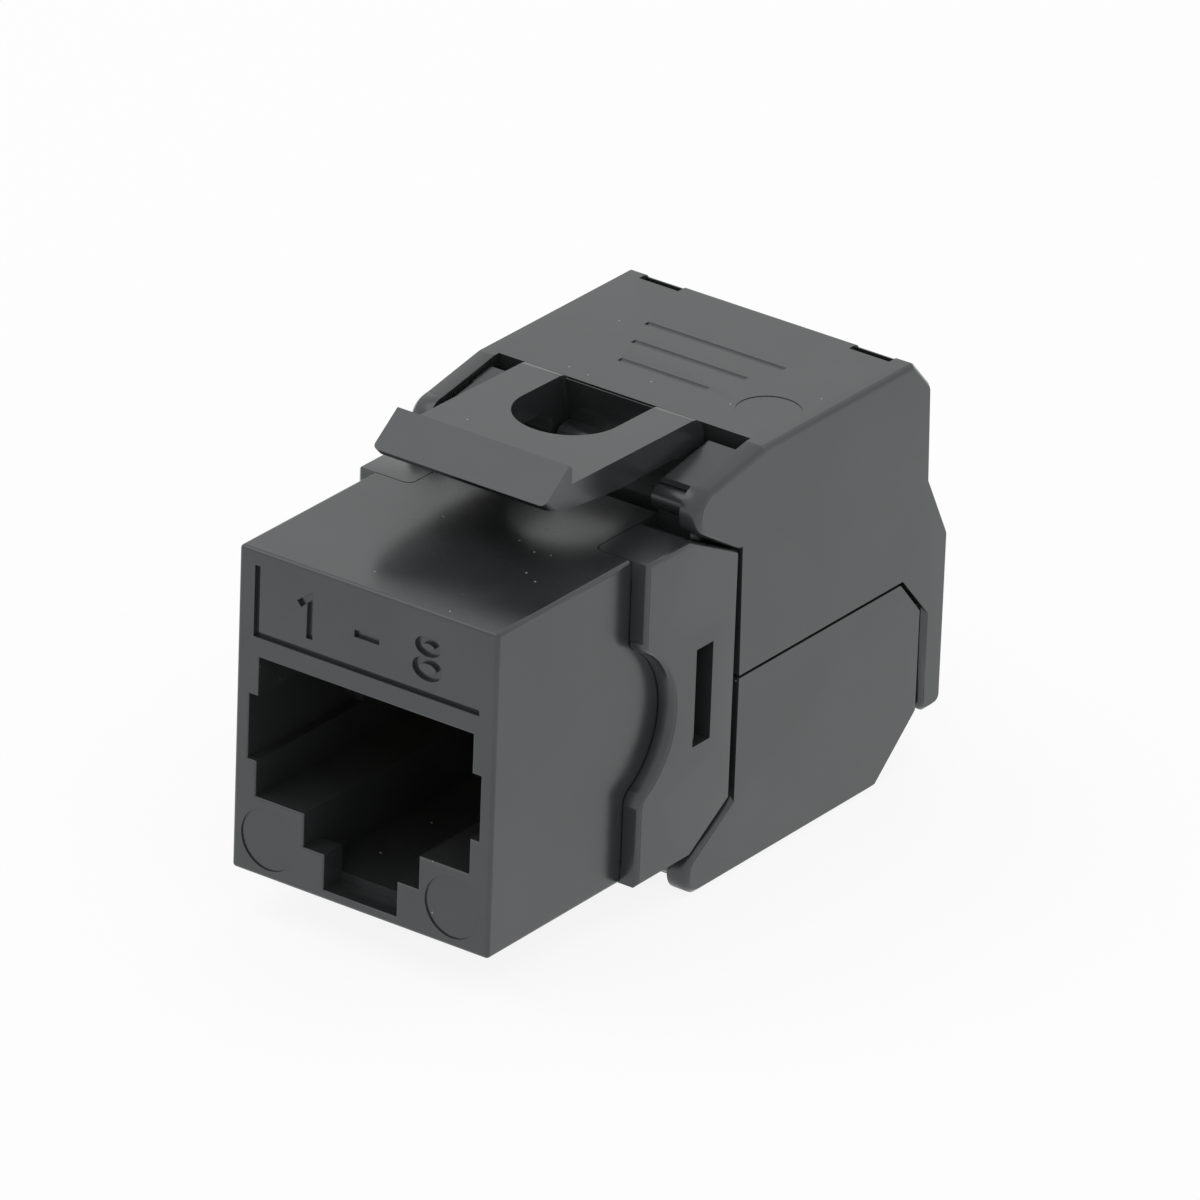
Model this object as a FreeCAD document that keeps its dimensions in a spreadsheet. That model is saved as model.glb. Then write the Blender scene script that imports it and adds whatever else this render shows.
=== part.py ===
import FreeCAD, Part

import math
import os

import Sketcher

# Keystone jack with an eight-way port in front, a snap-in lever on top and two hinged wings at the rear that press
# the wires into their contacts. Millimetres. Working frame: X across, Y from the front face to the rear, Z up from
# the underside of the front housing. The last step moves every piece to the part's own frame.

SIZES = {
    # overall
    "collar_width": 16.4,  # of the collar and both wings
    "housing_height": 16.2,
    "housing_length": 14.8,
    "fit": 0.05,  # gap between pieces that are pushed together
    # front housing
    "cheek_step": 0.95,  # the collar stands proud of the housing by this much on each side
    "collar_back": 4.8,  # from the collar's front edge to the end of the housing
    "edge_round": 0.2,
    "front_wall": 1.9,  # behind it lies the bay of the contact carrier
    "roof": 1.3,
    # port, seen from the front
    "port_wall": 1.23,
    "port_floor": 3.93,
    "port_ceiling": 10.9,
    "port_back": 1.8,  # from the back of the port to the end of the housing
    "port_round": 0.12,
    "key_deep": 0.5,  # side notches of the port
    "key_low": 5.7,
    "key_high": 8.95,
    "key_depth": 8.0,
    "step_in": 2.77,
    "step_floor": 2.25,
    "tab_in": 1.19,
    "tab_floor": 0.48,
    "catch_wall": 1.4,  # the plug's tab snaps in behind it
    "catch_floor": 0.9,
    # shallow marks on the front face
    "label_margin": 0.92,
    "label_above": 1.0,
    "label_under": 0.75,
    "label_line": 0.3,
    "label_depth": 0.25,
    "mark_radius": 1.55,  # ejector pin marks
    "mark_margin": 2.05,
    "mark_height": 2.0,
    "mark_depth": 0.08,
    # fixed lug and stop rib under the housing
    "lug_lag": 0.05,
    "lug_long": 2.1,
    "lug_drop": 1.9,
    "stop_long": 1.35,
    "stop_drop": 1.2,
    # collar of the rear housing
    "top_drop": 1.83,  # fall of the sloping top edge at the rear
    "top_slope": 25.5,
    "low_rise": 1.92,
    "low_slope": 32.3,
    "bite_radius": 4.0,  # round bite in the front edge
    "bite_set": 1.55,
    "bite_round": 0.8,
    "collar_edge": 0.2,
    "strip_wide": 2.05,  # corner strips lie flush in the housing's corners
    "strip_thick": 1.0,
    "strip_round": 0.45,
    "window_back": 0.85,
    "window_long": 1.35,
    "window_tall": 4.9,
    "tooth_height": 0.65,
    "tooth_length": 0.45,
    "core_play": 0.1,
    "ring_long": 1.2,
    "partition_thick": 1.15,
    # hinges
    "upper_hinge_back": 0.15,
    "lower_hinge_back": 0.2,
    "hinge_rise": 0.85,
    "lower_depth": 1.0,
    "pin_radius": 0.6,
    "pin_play": 0.06,
    "ear_gap": 0.28,
    "ear_long": 1.2,
    "crown_rise": 2.4,
    "ear_rise": 1.8,
    "ear_round": 0.35,
    "low_ear_depth": 1.75,
    # latch lever
    "lever_margin": 2.43,
    "panel_gap": 1.45,  # a wall plate is held between the lever's ridge and the collar
    "ridge_flat": 0.2,
    "ridge_long": 1.85,
    "lever_gap": 2.0,
    "lever_thick": 1.4,
    "tip_rise": 1.0,
    "tip_round": 0.3,
    "ridge_rise": 1.15,
    "lever_round": 1.0,
    "leg_thick": 1.5,
    "pivot_back": 0.75,
    "pivot_rise": 0.8,
    "pivot_cover": 0.8,
    "knuckle_radius": 0.7,
    "knuckle_play": 0.05,
    "slot_width": 5.25,
    "slot_set": 2.25,
    "shelf_lip": 1.0,
    # wings
    "wing_wall": 1.1,
    "wing_plate": 1.2,
    "wing_rise": 2.75,
    "wing_bottom": 2.1,  # depth below the housing
    "wing_gap": 0.3,
    "wing_round": 0.3,
    "wing_edge": 0.25,
    "plate_gap": 0.45,
    "nose_radius": 1.2,
    "low_nose_radius": 1.1,
    "arm_short": 0.35,  # the arm's sloping top meets the plate this far in front of the plate's edge
    "part_drop": 0.2,
    "part_gap": 0.15,
    "part_run": 2.9,
    "part_chamfer": 2.15,
    "top_run": 3.3,
    "brow_run": 4.8,
    "brow_fall": 1.6,
    "waist_rise": 4.46,
    "leg_gap": 0.2,
    "leg_deep": 1.7,
    "leg_wide": 2.9,
    "leg_rise": 1.2,
    "leg_bottom": 0.4,
    "leg_round": 0.6,
    "keel_run": 1.6,
    "heel_height": 0.7,
    "rear_wall": 1.2,
    "notch_wide": 2.25,
    "notch_run": 2.7,
    "notch_deep": 1.65,
    "mouth_radius": 3.8,
    # marks on the upper wing
    "line_width": 0.2,
    "line_depth": 0.1,
    "line_set": 3.05,
    "line_pitch": 2.0,
    "line_short": 5.0,
    "line_growth": 1.4,
    "disc_radius": 1.55,
    "disc_margin": 2.25,
    "disc_set": 3.0,
    # circuit board, wire blocks and blades
    "board_thick": 1.0,
    "board_play": 0.02,
    "board_lead": 0.75,
    "block_long": 10.15,
    "block_gap": 0.5,
    "lane_margin": 0.1,
    "wire_slot": 1.4,
    "slot_bed": 2.6,  # floor of the wire slots above the board
    "blade_set": 5.35,
    "blade_thick": 0.4,
    "blade_width": 2.4,
    "blade_sunk": 0.5,
    "blade_gap": 0.4,
    "blade_play": 0.05,
    "gap_depth": 3.0,
    "mouth_width": 1.2,
    "mouth_depth": 0.7,
    "tail_width": 0.6,
    "tail_shift": 0.5,
    "hole_radius": 0.36,
    "rib_width": 1.0,
    "rib_reach": 1.6,  # how far a rib reaches into its wire slot
    "rib_lead": 2.9,
    "rib_short": 1.3,
    "rib_lag": 1.5,
    "rib_long": 2.5,
    # wire manager
    "manager_length": 3.0,
    "manager_gap": 0.6,
    "manager_rise": 1.6,
    "manager_hollow": 1.5,
    "manager_rim": 0.9,
    "cable_radius": 3.3,
    # contact carrier and port contacts
    "carrier_play": 0.07,
    "carrier_lag": 0.9,
    "back_plate": 1.0,
    "contact_count": 8,
    "contact_pitch": 1.02,
    "contact_wide": 0.46,
    "contact_thick": 0.35,
    "contact_play": 0.08,
    "contact_bend": 0.4,  # inside the bends
    "contact_slope": 13.5,
    "contact_front": 2.6,
    "contact_rise": 0.7,  # above the port's ceiling
    "contact_drop": 1.35,
    "tip_short": 1.8,
    "comb_long": 2.6,
    "comb_drop": 3.3,
    "tail_lead": 0.45,
    "tail_step": 0.8,
}

# sizes that follow others, worked out by the spreadsheet
TIED = {
    # across
    "housing_width": "collar_width - 2 * cheek_step",
    "inside_width": "collar_width - 2 * wing_wall",
    "port_width": "housing_width - 2 * port_wall",
    "key_width": "port_width + 2 * key_deep",
    "step_width": "port_width - 2 * step_in",
    "tab_width": "step_width - 2 * tab_in",
    "carrier_width": "port_width - 2 * carrier_play",
    "label_side": "housing_width / 2 - label_margin",
    "mark_across": "housing_width / 2 - mark_margin",
    "lever_width": "housing_width - 2 * lever_margin",
    "strip_inner": "housing_width / 2 - strip_wide",
    "core_width": "inside_width - 2 * core_play",
    "ear_inner": "lever_width / 2 + ear_gap",
    "ear_outer": "core_width / 2 - fit",
    "block_width": "inside_width - 2 * block_gap",
    "wire_pitch": "block_width / 4 - lane_margin",
    "board_width": "port_width - 2 * board_play",
    "manager_width": "inside_width - 2 * manager_gap",
    "leg_inner": "collar_width / 2 - leg_wide",
    "notch_outer": "inside_width / 2",
    "notch_inner": "notch_outer - notch_wide",
    "disc_across": "collar_width / 2 - disc_margin",
    # up
    "middle": "housing_height / 2",  # height of the board and of the cable
    "label_low": "port_ceiling + label_above",
    "label_high": "housing_height - label_under",
    "contact_height": "port_ceiling + contact_rise",
    "contact_low": "contact_height - contact_drop",
    "comb_low": "port_ceiling - comb_drop",
    "window_low": "middle - window_tall / 2",
    "window_high": "middle + window_tall / 2",
    "upper_height": "housing_height + hinge_rise",
    "ear_brow": "housing_height + ear_rise",
    "ear_crown": "housing_height + crown_rise",
    "pivot_height": "housing_height + pivot_rise",
    "lever_under": "housing_height + lever_gap",
    "lever_top": "lever_under + lever_thick",
    "tip_height": "lever_under + tip_rise",
    "ridge_height": "lever_top + ridge_rise",
    "wing_top": "housing_height + wing_rise",
    "brow_height": "wing_top - brow_fall",
    "waist_height": "middle + waist_rise",
    "leg_top": "middle + leg_rise",
    "part_line": "middle - part_drop",
    "notch_floor": "wing_top - notch_deep",
    "block_height": "housing_height - roof - middle - board_thick / 2",
    "blade_height": "block_height - blade_sunk",
    "manager_height": "2 * (middle - manager_rise)",
    # from front to rear
    "collar_front": "housing_length - collar_back",
    "bite_along": "collar_front - bite_set",
    "port_depth": "housing_length - port_back",
    "window_front": "housing_length - window_back",
    "window_rear": "window_front + window_long",
    "partition_front": "housing_length + ring_long",
    "collar_rear": "partition_front + partition_thick",
    "upper_along": "housing_length + upper_hinge_back",
    "lower_along": "housing_length + lower_hinge_back",
    "ear_rear": "collar_rear + ear_long",
    "ridge_back": "collar_front - panel_gap",
    "lever_ridge": "ridge_back - ridge_flat",
    "lever_tip": "lever_ridge - ridge_long",
    "slot_front": "collar_front + slot_set",
    "lug_rear": "ridge_back - lug_lag",
    "lug_front": "lug_rear - lug_long",
    "stop_front": "collar_front + fit",
    "stop_rear": "stop_front + stop_long",
    "pivot_along": "collar_rear + pivot_back",
    "shelf_rear": "pivot_along + shelf_lip",
    "lever_rear": "pivot_along + pivot_cover",
    "wing_front": "collar_rear + wing_gap",
    "plate_front": "lever_rear + plate_gap",
    "arm_top": "plate_front - arm_short",
    "line_first": "plate_front + line_set",
    "disc_along": "plate_front + disc_set",
    "blade_along": "collar_rear + blade_set",
    "rib_front": "blade_along - rib_lead",
    "rib_second": "blade_along + rib_lag",
    "board_front": "housing_length - board_lead",
    "board_rear": "collar_rear + block_long",
    "keel_rear": "board_rear + keel_run",
    "notch_front": "board_rear + notch_run",
    "part_corner": "board_rear + part_run",
    "top_rear": "board_rear + top_run",
    "brow_rear": "board_rear + brow_run",
    "waist_rear": "brow_rear + leg_gap",
    "leg_rear": "waist_rear + leg_deep",
    "carrier_rear": "housing_length + carrier_lag",
    "tail_row": "board_front + tail_lead",
    "contact_tip": "port_depth - tip_short",
    "comb_front": "port_depth - comb_long",
}

OVER = 1.0  # how far a cut starts or ends outside the material, so that no skin is left

doc = FreeCAD.newDocument("keystone_jack")
sheet = doc.addObject("Spreadsheet::Sheet", "sizes")
for row, (word, content) in enumerate([*SIZES.items(), *TIED.items()], start=1):
    sheet.set(f"A{row}", word)
    sheet.set(f"B{row}", f"={content}" if word in TIED else str(content))
    sheet.setAlias(f"B{row}", word)
doc.recompute()


class Size:
    """A length that carries its formula in the spreadsheet's words along with its number."""

    def __init__(self, number, formula=None):
        self.number = float(number)
        self.formula = formula or f"{self.number:.6f}"

    def join(self, sign, other, number):
        return Size(number, f"({self.formula} {sign} {other.formula})")

    def __add__(self, other):
        other = size(other)
        return self.join("+", other, self.number + other.number)

    def __sub__(self, other):
        other = size(other)
        return self.join("-", other, self.number - other.number)

    def __mul__(self, other):
        other = size(other)
        return self.join("*", other, self.number * other.number)

    def __truediv__(self, other):
        other = size(other)
        return self.join("/", other, self.number / other.number)

    def __neg__(self):
        return size(0) - self

    def __radd__(self, other):
        return size(other) + self

    def __rsub__(self, other):
        return size(other) - self

    def __rmul__(self, other):
        return size(other) * self


def size(value):
    return value if isinstance(value, Size) else Size(value)


def sine(angle):
    return Size(math.sin(math.radians(angle.number)), f"sin({angle.formula} * 1 deg)")


def cosine(angle):
    return Size(math.cos(math.radians(angle.number)), f"cos({angle.formula} * 1 deg)")


def tangent(angle):
    return sine(angle) / cosine(angle)


class Words:
    """The spreadsheet's cells by name."""

    def __init__(self):
        for word in [*SIZES, *TIED]:
            setattr(self, word, Size(sheet.get(word), f"sizes.{word}"))


s = Words()


def rectangle(left, right, low, high):
    return [(left, low), (right, low), (right, high), (left, high)]


def mirrored(points):
    return [(-size(across), height) for across, height in points]


def both(points):
    return [points, mirrored(points)]


def symmetric(points):
    """An outline from its right half, listed from one end of the middle line to the other."""
    return points + mirrored(points)[::-1]


class Piece:
    """A PartDesign body. Every pad and pocket starts at a plane and runs its length along +X, +Y or +Z."""

    def __init__(self, label):
        self.body = doc.addObject("PartDesign::Body", label)
        self.body.Label = label
        self.label = label
        self.count = 0

    def sketch(self, plane, start, loops):
        self.count += 1
        sketch = self.body.newObject("Sketcher::SketchObject", f"{self.label}_sketch_{self.count}")
        support = next(f for f in self.body.Origin.OriginFeatures if f.Role == f"{plane}_Plane")
        sketch.AttachmentSupport = [(support, "")]
        sketch.MapMode = "FlatFace"
        start = size(start)
        if plane == "XZ":  # its normal is -Y
            start = -start
        sketch.AttachmentOffset = FreeCAD.Placement(FreeCAD.Vector(0, 0, start.number), FreeCAD.Rotation())
        sketch.setExpression("AttachmentOffset.Base.z", start.formula)
        for loop in loops:
            if isinstance(loop, tuple):
                self.draw_circle(sketch, *loop)
            else:
                self.draw_outline(sketch, loop)
        return sketch

    def place(self, sketch, edge, end, point):
        for kind, where in zip(("DistanceX", "DistanceY"), point):
            row = sketch.addConstraint(Sketcher.Constraint(kind, -1, 1, edge, end, size(where).number))
            sketch.setExpression(f"Constraints[{row}]", size(where).formula)

    def draw_circle(self, sketch, across, up, radius):
        centre = FreeCAD.Vector(size(across).number, size(up).number, 0)
        edge = sketch.addGeometry(Part.Circle(centre, FreeCAD.Vector(0, 0, 1), radius.number), False)
        self.place(sketch, edge, 3, (across, up))
        row = sketch.addConstraint(Sketcher.Constraint("Radius", edge, radius.number))
        sketch.setExpression(f"Constraints[{row}]", radius.formula)

    def draw_outline(self, sketch, points):
        corners = [FreeCAD.Vector(size(a).number, size(b).number, 0) for a, b in points]
        edges = []
        for here, there in zip(corners, corners[1:] + corners[:1]):
            edges.append(sketch.addGeometry(Part.LineSegment(here, there), False))
        for edge, following in zip(edges, edges[1:] + edges[:1]):
            sketch.addConstraint(Sketcher.Constraint("Coincident", edge, 2, following, 1))
        for edge, point in zip(edges, points):
            self.place(sketch, edge, 1, point)

    def extrude(self, kind, plane, start, length, loops, even):
        sketch = self.sketch(plane, start, loops)
        feature = self.body.newObject(f"PartDesign::{kind}", f"{self.label}_{kind.lower()}_{self.count}")
        feature.Profile = sketch
        length = size(length)
        feature.Length = length.number
        feature.setExpression("Length", length.formula)
        if even:
            feature.SideType = "Symmetric"
        elif kind == "Pad":
            feature.Reversed = plane == "XZ"
        else:
            feature.Reversed = plane != "XZ"

    def add(self, plane, start, length, *loops, even=False):
        self.extrude("Pad", plane, start, length, loops, even)

    def cut(self, plane, start, length, *loops, even=False):
        self.extrude("Pocket", plane, start, length, loops, even)

    def dress(self, kind, amount, chosen):
        """Rounds or chamfers the edges that the function named chosen picks from the shape so far."""
        doc.recompute()
        base = self.body.Tip
        names = [f"Edge{n}" for n, edge in enumerate(base.Shape.Edges, start=1) if chosen(edge)]
        self.count += 1
        feature = self.body.newObject(f"PartDesign::{kind}", f"{self.label}_{kind.lower()}_{self.count}")
        feature.Base = (base, names)
        word = "Radius" if kind == "Fillet" else "Size"
        setattr(feature, word, amount.number)
        feature.setExpression(word, amount.formula)
        return len(names)


def lies_at(edge, near=0.02, **where):
    """Whether every end of the edge has the stated coordinates, such as y=10."""
    axes = {axis: size(value).number for axis, value in where.items()}
    return all(abs(getattr(v.Point, axis) - value) < near for v in edge.Vertexes for axis, value in axes.items())


def runs_over(edge, points):
    """Whether the edge runs along X over one of the points (Y, Z)."""
    return any(lies_at(edge, y=along, z=height) for along, height in points)


def on_side(edge):
    """Whether the edge lies on either outer side of the collar and the wings."""
    return lies_at(edge, x=half_collar) or lies_at(edge, x=-half_collar)


def tail_row(number):
    """The contacts' tails stand in two rows."""
    return s.tail_row + (number % 2) * s.tail_step


pieces = []  # PartDesign bodies, one for each node


def finished(piece):
    pieces.append(piece.body)


# places that several pieces share
half_housing = s.housing_width / 2
half_collar = s.collar_width / 2
roof_under = s.housing_height - s.roof
seat_end = s.housing_length + s.fit
board_half = s.board_thick / 2
half_inside = s.inside_width / 2
wire_lanes = [s.wire_pitch * step for step in (-1.5, -0.5, 0.5, 1.5)]
middle_contact = (s.contact_count.number - 1) / 2
contact_lanes = [s.contact_pitch * (step - middle_contact) for step in range(int(s.contact_count.number))]


def front_housing():
    piece = Piece("front_housing")
    piece.add("XZ", 0, s.housing_length, rectangle(-half_housing, half_housing, 0, s.housing_height))
    piece.dress("Fillet", s.edge_round, lambda edge: not lies_at(edge, y=s.housing_length))
    # corner rebates for the strips of the collar
    inner = s.strip_inner - s.fit
    for low, high in (
        (-OVER, s.strip_thick + s.fit),
        (s.housing_height - s.strip_thick - s.fit, s.housing_height + OVER),
    ):
        corner = rectangle(inner, half_housing + OVER, low, high)
        piece.cut("XZ", s.collar_front - s.fit, s.housing_length, *both(corner))
    front = s.collar_front - s.fit
    piece.dress("Fillet", s.strip_round, lambda edge: any(lies_at(edge, x=x, y=front) for x in (-inner, inner)))
    # port: stepped mouth, plain cavity, side keys and the channel that catches the plug's tab
    mouth = [
        (s.port_width / 2, s.port_ceiling),
        (s.port_width / 2, s.port_floor),
        (s.step_width / 2, s.port_floor),
        (s.step_width / 2, s.step_floor),
        (s.tab_width / 2, s.step_floor),
        (s.tab_width / 2, s.tab_floor),
    ]
    piece.cut("XZ", 0, s.catch_wall, symmetric(mouth))
    half_port = s.port_width / 2
    piece.cut("XZ", 0, s.housing_length + OVER, rectangle(-half_port, half_port, s.port_floor, s.port_ceiling))
    half_step = s.step_width / 2
    channel = rectangle(-half_step, half_step, s.catch_floor, s.port_floor + OVER)
    piece.cut("XZ", s.catch_wall, s.port_depth - s.catch_wall, channel)
    half_key = s.key_width / 2
    piece.cut("XZ", 0, s.key_depth, rectangle(-half_key, half_key, s.key_low, s.key_high))

    def port_rim(edge):
        inside = abs(edge.CenterOfMass.x) < half_key.number + 0.01 and edge.CenterOfMass.z < s.port_ceiling.number + 0.01
        return inside and edge.CenterOfMass.z > s.tab_floor.number - 0.01 and lies_at(edge, y=0)

    piece.dress("Fillet", s.port_round, port_rim)
    # bay of the contact carrier, open to the rear
    half_bay = s.carrier_width / 2 + s.fit
    bay = rectangle(-half_bay, half_bay, s.port_ceiling - OVER, roof_under)
    piece.cut("XZ", s.front_wall, s.housing_length, bay)
    # sunk frame line of the label field and ejector pin marks
    left = -s.label_side
    frame_line = [
        (left, s.label_low),
        (s.label_side, s.label_low),
        (s.label_side, s.label_low + s.label_line),
        (left + s.label_line, s.label_low + s.label_line),
        (left + s.label_line, s.label_high),
        (left, s.label_high),
    ]
    piece.cut("XZ", 0, s.label_depth, frame_line)
    marks = [(side * s.mark_across, s.mark_height, s.mark_radius) for side in (-1, 1)]
    piece.cut("XZ", 0, s.mark_depth, *marks)
    # fixed lug and the stop rib behind the panel
    flat = s.lug_drop / 5
    lug = [
        (s.lug_front, s.tab_floor),
        (s.lug_front, 0),
        (s.lug_rear - flat, -s.lug_drop),
        (s.lug_rear, -s.lug_drop),
        (s.lug_rear, s.tab_floor),
    ]
    piece.add("YZ", 0, s.lever_width, lug, even=True)
    stop = rectangle(s.stop_front, s.stop_rear, -s.stop_drop, s.tab_floor)
    piece.add("YZ", 0, s.lever_width, stop, even=True)
    # snap teeth that look through the collar's side windows
    front = s.window_front + s.fit
    tooth = [
        (half_housing - s.tooth_height, front),
        (half_housing + s.tooth_height, front),
        (half_housing + s.tooth_height, front + s.tooth_length),
        (half_housing, s.housing_length),
        (half_housing - s.tooth_height, s.housing_length),
    ]
    tall = s.window_high - s.window_low - 2 * s.fit
    piece.add("XY", s.window_low + s.fit, tall, *both(tooth))
    finished(piece)


def rear_housing():
    piece = Piece("rear_housing")
    top_start = s.collar_rear - s.top_drop / tangent(s.top_slope)
    low_start = s.collar_rear - s.low_rise / tangent(s.low_slope)
    side = [
        (s.collar_front, 0),
        (s.collar_front, s.housing_height),
        (top_start, s.housing_height),
        (s.collar_rear, s.housing_height - s.top_drop),
        (s.collar_rear, s.low_rise),
        (low_start, 0),
    ]
    piece.add("YZ", 0, s.collar_width, side, even=True)
    piece.cut("YZ", 0, s.collar_width + OVER, (s.bite_along, s.middle, s.bite_radius), even=True)

    def bite_corner(edge):
        inside = all(0.1 < v.Point.z < s.housing_height.number - 0.1 for v in edge.Vertexes)
        return inside and lies_at(edge, y=s.collar_front) and lies_at(edge, z=edge.Vertexes[0].Point.z)

    piece.dress("Fillet", s.bite_round, bite_corner)
    piece.dress("Chamfer", s.collar_edge, on_side)
    # seat of the front housing, with strips left in its four corners
    seat = [
        (s.strip_inner, s.housing_height + OVER),
        (s.strip_inner, s.housing_height - s.strip_thick),
        (half_housing + s.fit, s.housing_height - s.strip_thick),
        (half_housing + s.fit, s.strip_thick),
        (s.strip_inner, s.strip_thick),
        (s.strip_inner, -OVER),
    ]
    piece.cut("XZ", s.collar_front - OVER, seat_end - s.collar_front + OVER, symmetric(seat))
    corners = (-s.strip_inner, s.strip_inner)
    front = s.collar_front
    piece.dress("Fillet", s.strip_round, lambda edge: any(lies_at(edge, x=x, y=front) for x in corners))
    # core behind the front housing, hollow as far as the partition
    core = rectangle(seat_end, s.collar_rear, 0, s.housing_height)
    piece.add("YZ", 0, s.core_width, core, even=True)
    half_hollow = s.carrier_width / 2 + 4 * s.fit
    hollow = rectangle(-half_hollow, half_hollow, s.step_floor, roof_under)
    hollow_long = s.partition_front - s.housing_length
    piece.cut("XZ", s.housing_length, hollow_long, hollow)
    half_gap = s.ear_inner - 2 * s.fit
    gap = rectangle(-half_gap, half_gap, roof_under - OVER, s.housing_height + OVER)
    piece.cut("XZ", s.housing_length, hollow_long, gap)
    # shelf over the upper wire block, with the cradle of the lever's knuckles
    shelf_under = s.middle + board_half + s.block_height + s.fit
    shelf = rectangle(s.partition_front, s.shelf_rear, shelf_under, s.housing_height)
    piece.add("YZ", 0, 2 * s.ear_outer, shelf, even=True)
    cradle_front = s.pivot_along - (s.shelf_rear - s.pivot_along)
    cradle = rectangle(cradle_front, s.shelf_rear, shelf_under, s.pivot_height)
    piece.add("YZ", 0, 2 * half_gap, cradle, even=True)
    groove = (s.pivot_along, s.pivot_height, s.knuckle_radius + s.knuckle_play)
    piece.cut("YZ", 0, 2 * half_gap, groove, even=True)
    # ears with half-round seats for the hinge pins of both wings
    upper_ear = [
        (s.upper_along, roof_under),
        (s.upper_along, s.ear_brow),
        (s.upper_along + (s.ear_rear - s.upper_along) * 2 / 3, (s.ear_brow + 2 * s.ear_crown) / 3),
        (s.ear_rear, s.ear_crown),
        (s.ear_rear, roof_under),
    ]
    lower_ear = rectangle(s.lower_along, s.collar_rear, -s.low_ear_depth, s.strip_thick)
    wide = s.ear_outer - s.ear_inner
    for start in (s.ear_inner, -s.ear_outer):
        piece.add("YZ", start, wide, upper_ear)
        piece.add("YZ", start, wide, lower_ear)

    def ear_top(edge):
        inner_side = any(lies_at(edge, x=x) for x in (-s.ear_inner, s.ear_inner))
        return inner_side and all(v.Point.z > s.ear_brow.number - 0.01 for v in edge.Vertexes)

    piece.dress("Fillet", s.ear_round, ear_top)
    seat_radius = s.pin_radius + s.pin_play
    upper_seat = (s.upper_along, s.upper_height, seat_radius)
    lower_seat = (s.lower_along, -s.lower_depth, seat_radius)
    piece.cut("YZ", 0, s.core_width, upper_seat, lower_seat, even=True)
    # slot of the circuit board through the partition, and the side windows
    half_slot = s.board_width / 2 + 2 * s.fit
    slot = rectangle(-half_slot, half_slot, s.middle - board_half - s.fit, s.middle + board_half + s.fit)
    piece.cut("XZ", s.partition_front - OVER, s.collar_rear - s.partition_front + 2 * OVER, slot)
    window = rectangle(s.window_front, s.window_rear, s.window_low, s.window_high)
    piece.cut("YZ", 0, s.collar_width + OVER, window, even=True)
    finished(piece)


def latch_lever():
    piece = Piece("latch_lever")
    nip = s.knuckle_radius / 4  # small flats and steps of the ridge
    leg_rear = s.pivot_along + s.knuckle_radius
    leg_front = s.pivot_along - s.knuckle_radius
    side = [
        (s.lever_tip, s.tip_height + nip),
        (s.lever_ridge, s.ridge_height),
        (s.ridge_back, s.ridge_height - nip),
        (s.ridge_back, s.lever_top + nip),
        (s.lever_rear, s.lever_top),
        (s.lever_rear, s.lever_under),
        (leg_rear, s.pivot_height),
        (leg_front, s.pivot_height),
        (leg_front, s.lever_under - s.leg_thick / 3),
        (leg_front - s.leg_thick / 2, s.lever_under),
        (s.slot_front, s.lever_under),
        (s.ridge_back, s.lever_under + s.leg_thick / 4),
        (s.lever_tip + 2 * nip, s.tip_height - nip),
    ]
    piece.add("YZ", 0, s.lever_width, side, even=True)
    piece.dress("Fillet", s.lever_round, lambda edge: lies_at(edge, y=s.lever_rear, z=s.lever_top))
    half = s.lever_width / 2
    tip = s.lever_tip + 2 * nip

    def tip_corner(edge):
        side = lies_at(edge, x=half) or lies_at(edge, x=-half)
        return side and all(v.Point.y < tip.number + 0.01 for v in edge.Vertexes)

    piece.dress("Fillet", s.tip_round, tip_corner)
    piece.add("YZ", 0, s.lever_width, (s.pivot_along, s.pivot_height, s.knuckle_radius), even=True)
    # slot with a round end that splits the rear into two springy legs
    half_slot = s.slot_width / 2
    deep = s.ridge_height - s.pivot_height + 2 * OVER
    bottom = s.pivot_height - OVER
    slot = rectangle(-half_slot, half_slot, s.slot_front + half_slot, s.lever_rear + OVER)
    piece.cut("XY", bottom, deep, slot)
    piece.cut("XY", bottom, deep, (0, s.slot_front + half_slot, half_slot))
    finished(piece)


def wing_pins(piece, along, height):
    reach = half_inside - s.ear_inner + s.wing_wall / 2
    for start in (s.ear_inner, -s.ear_inner - reach):
        piece.add("YZ", start, reach, (along, height, s.pin_radius))


def wing_ribs(piece, low, high):
    """Ribs that press the wires into the blades, two to a wire, in front of the blade and behind it."""
    for start, length in ((s.rib_front, s.rib_short), (s.rib_second, s.rib_long)):
        loops = [rectangle(lane - s.rib_width / 2, lane + s.rib_width / 2, low, high) for lane in wire_lanes]
        piece.add("XZ", start, length, *loops)


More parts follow.
